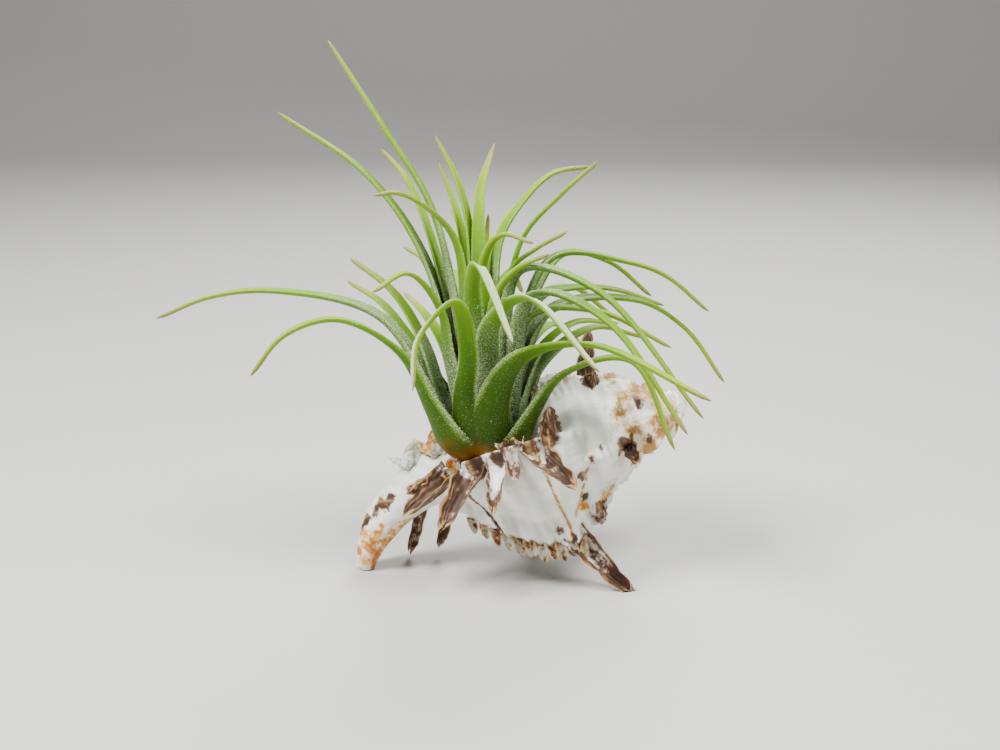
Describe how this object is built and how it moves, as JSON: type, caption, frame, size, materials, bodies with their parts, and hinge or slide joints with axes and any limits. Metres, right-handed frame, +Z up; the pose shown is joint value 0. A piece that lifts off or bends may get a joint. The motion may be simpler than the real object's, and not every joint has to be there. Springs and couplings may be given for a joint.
{
  "type": "air plant in a sea shell",
  "caption": "Spiky green air plant rooted in the upturned mouth of a frilled murex shell that stands on its canal and two long fronds.",
  "frame": {"origin": "middle of the extent in X and Y, on the surface that the shell stands on", "axes": "+Z up; +X from the shell's canal to its spire, along the picture's picture plane; -Y towards the viewer of the picture"},
  "size_m": [0.116, 0.0652, 0.1088],
  "materials": {
    "shell": "chalky white with brown fronds, tan spire and a smoother mouth",
    "leaf": "green, dotted with fine silver scales",
    "stem": "brown, dry and rough"
  },
  "bodies": {
    "root": {"murex_shell": "shell", "plant_stem": "stem", "leaf_01": "leaf", "leaf_02": "leaf", "leaf_03": "leaf", "leaf_04": "leaf", "leaf_05": "leaf", "leaf_06": "leaf", "leaf_07": "leaf", "leaf_08": "leaf", "leaf_09": "leaf", "leaf_10": "leaf", "leaf_11": "leaf", "leaf_12": "leaf", "leaf_13": "leaf", "leaf_14": "leaf", "leaf_15": "leaf", "leaf_16": "leaf", "leaf_17": "leaf", "leaf_18": "leaf", "leaf_19": "leaf", "leaf_20": "leaf", "leaf_21": "leaf", "leaf_22": "leaf", "leaf_23": "leaf", "leaf_24": "leaf", "leaf_25": "leaf", "leaf_26": "leaf", "leaf_27": "leaf", "leaf_28": "leaf", "leaf_29": "leaf", "leaf_30": "leaf", "leaf_31": "leaf", "leaf_32": "leaf", "leaf_33": "leaf", "leaf_34": "leaf", "leaf_35": "leaf", "leaf_36": "leaf", "leaf_37": "leaf", "leaf_38": "leaf", "leaf_39": "leaf", "leaf_40": "leaf", "leaf_41": "leaf", "leaf_42": "leaf", "leaf_43": "leaf", "leaf_44": "leaf"}
  },
  "joints": []
}
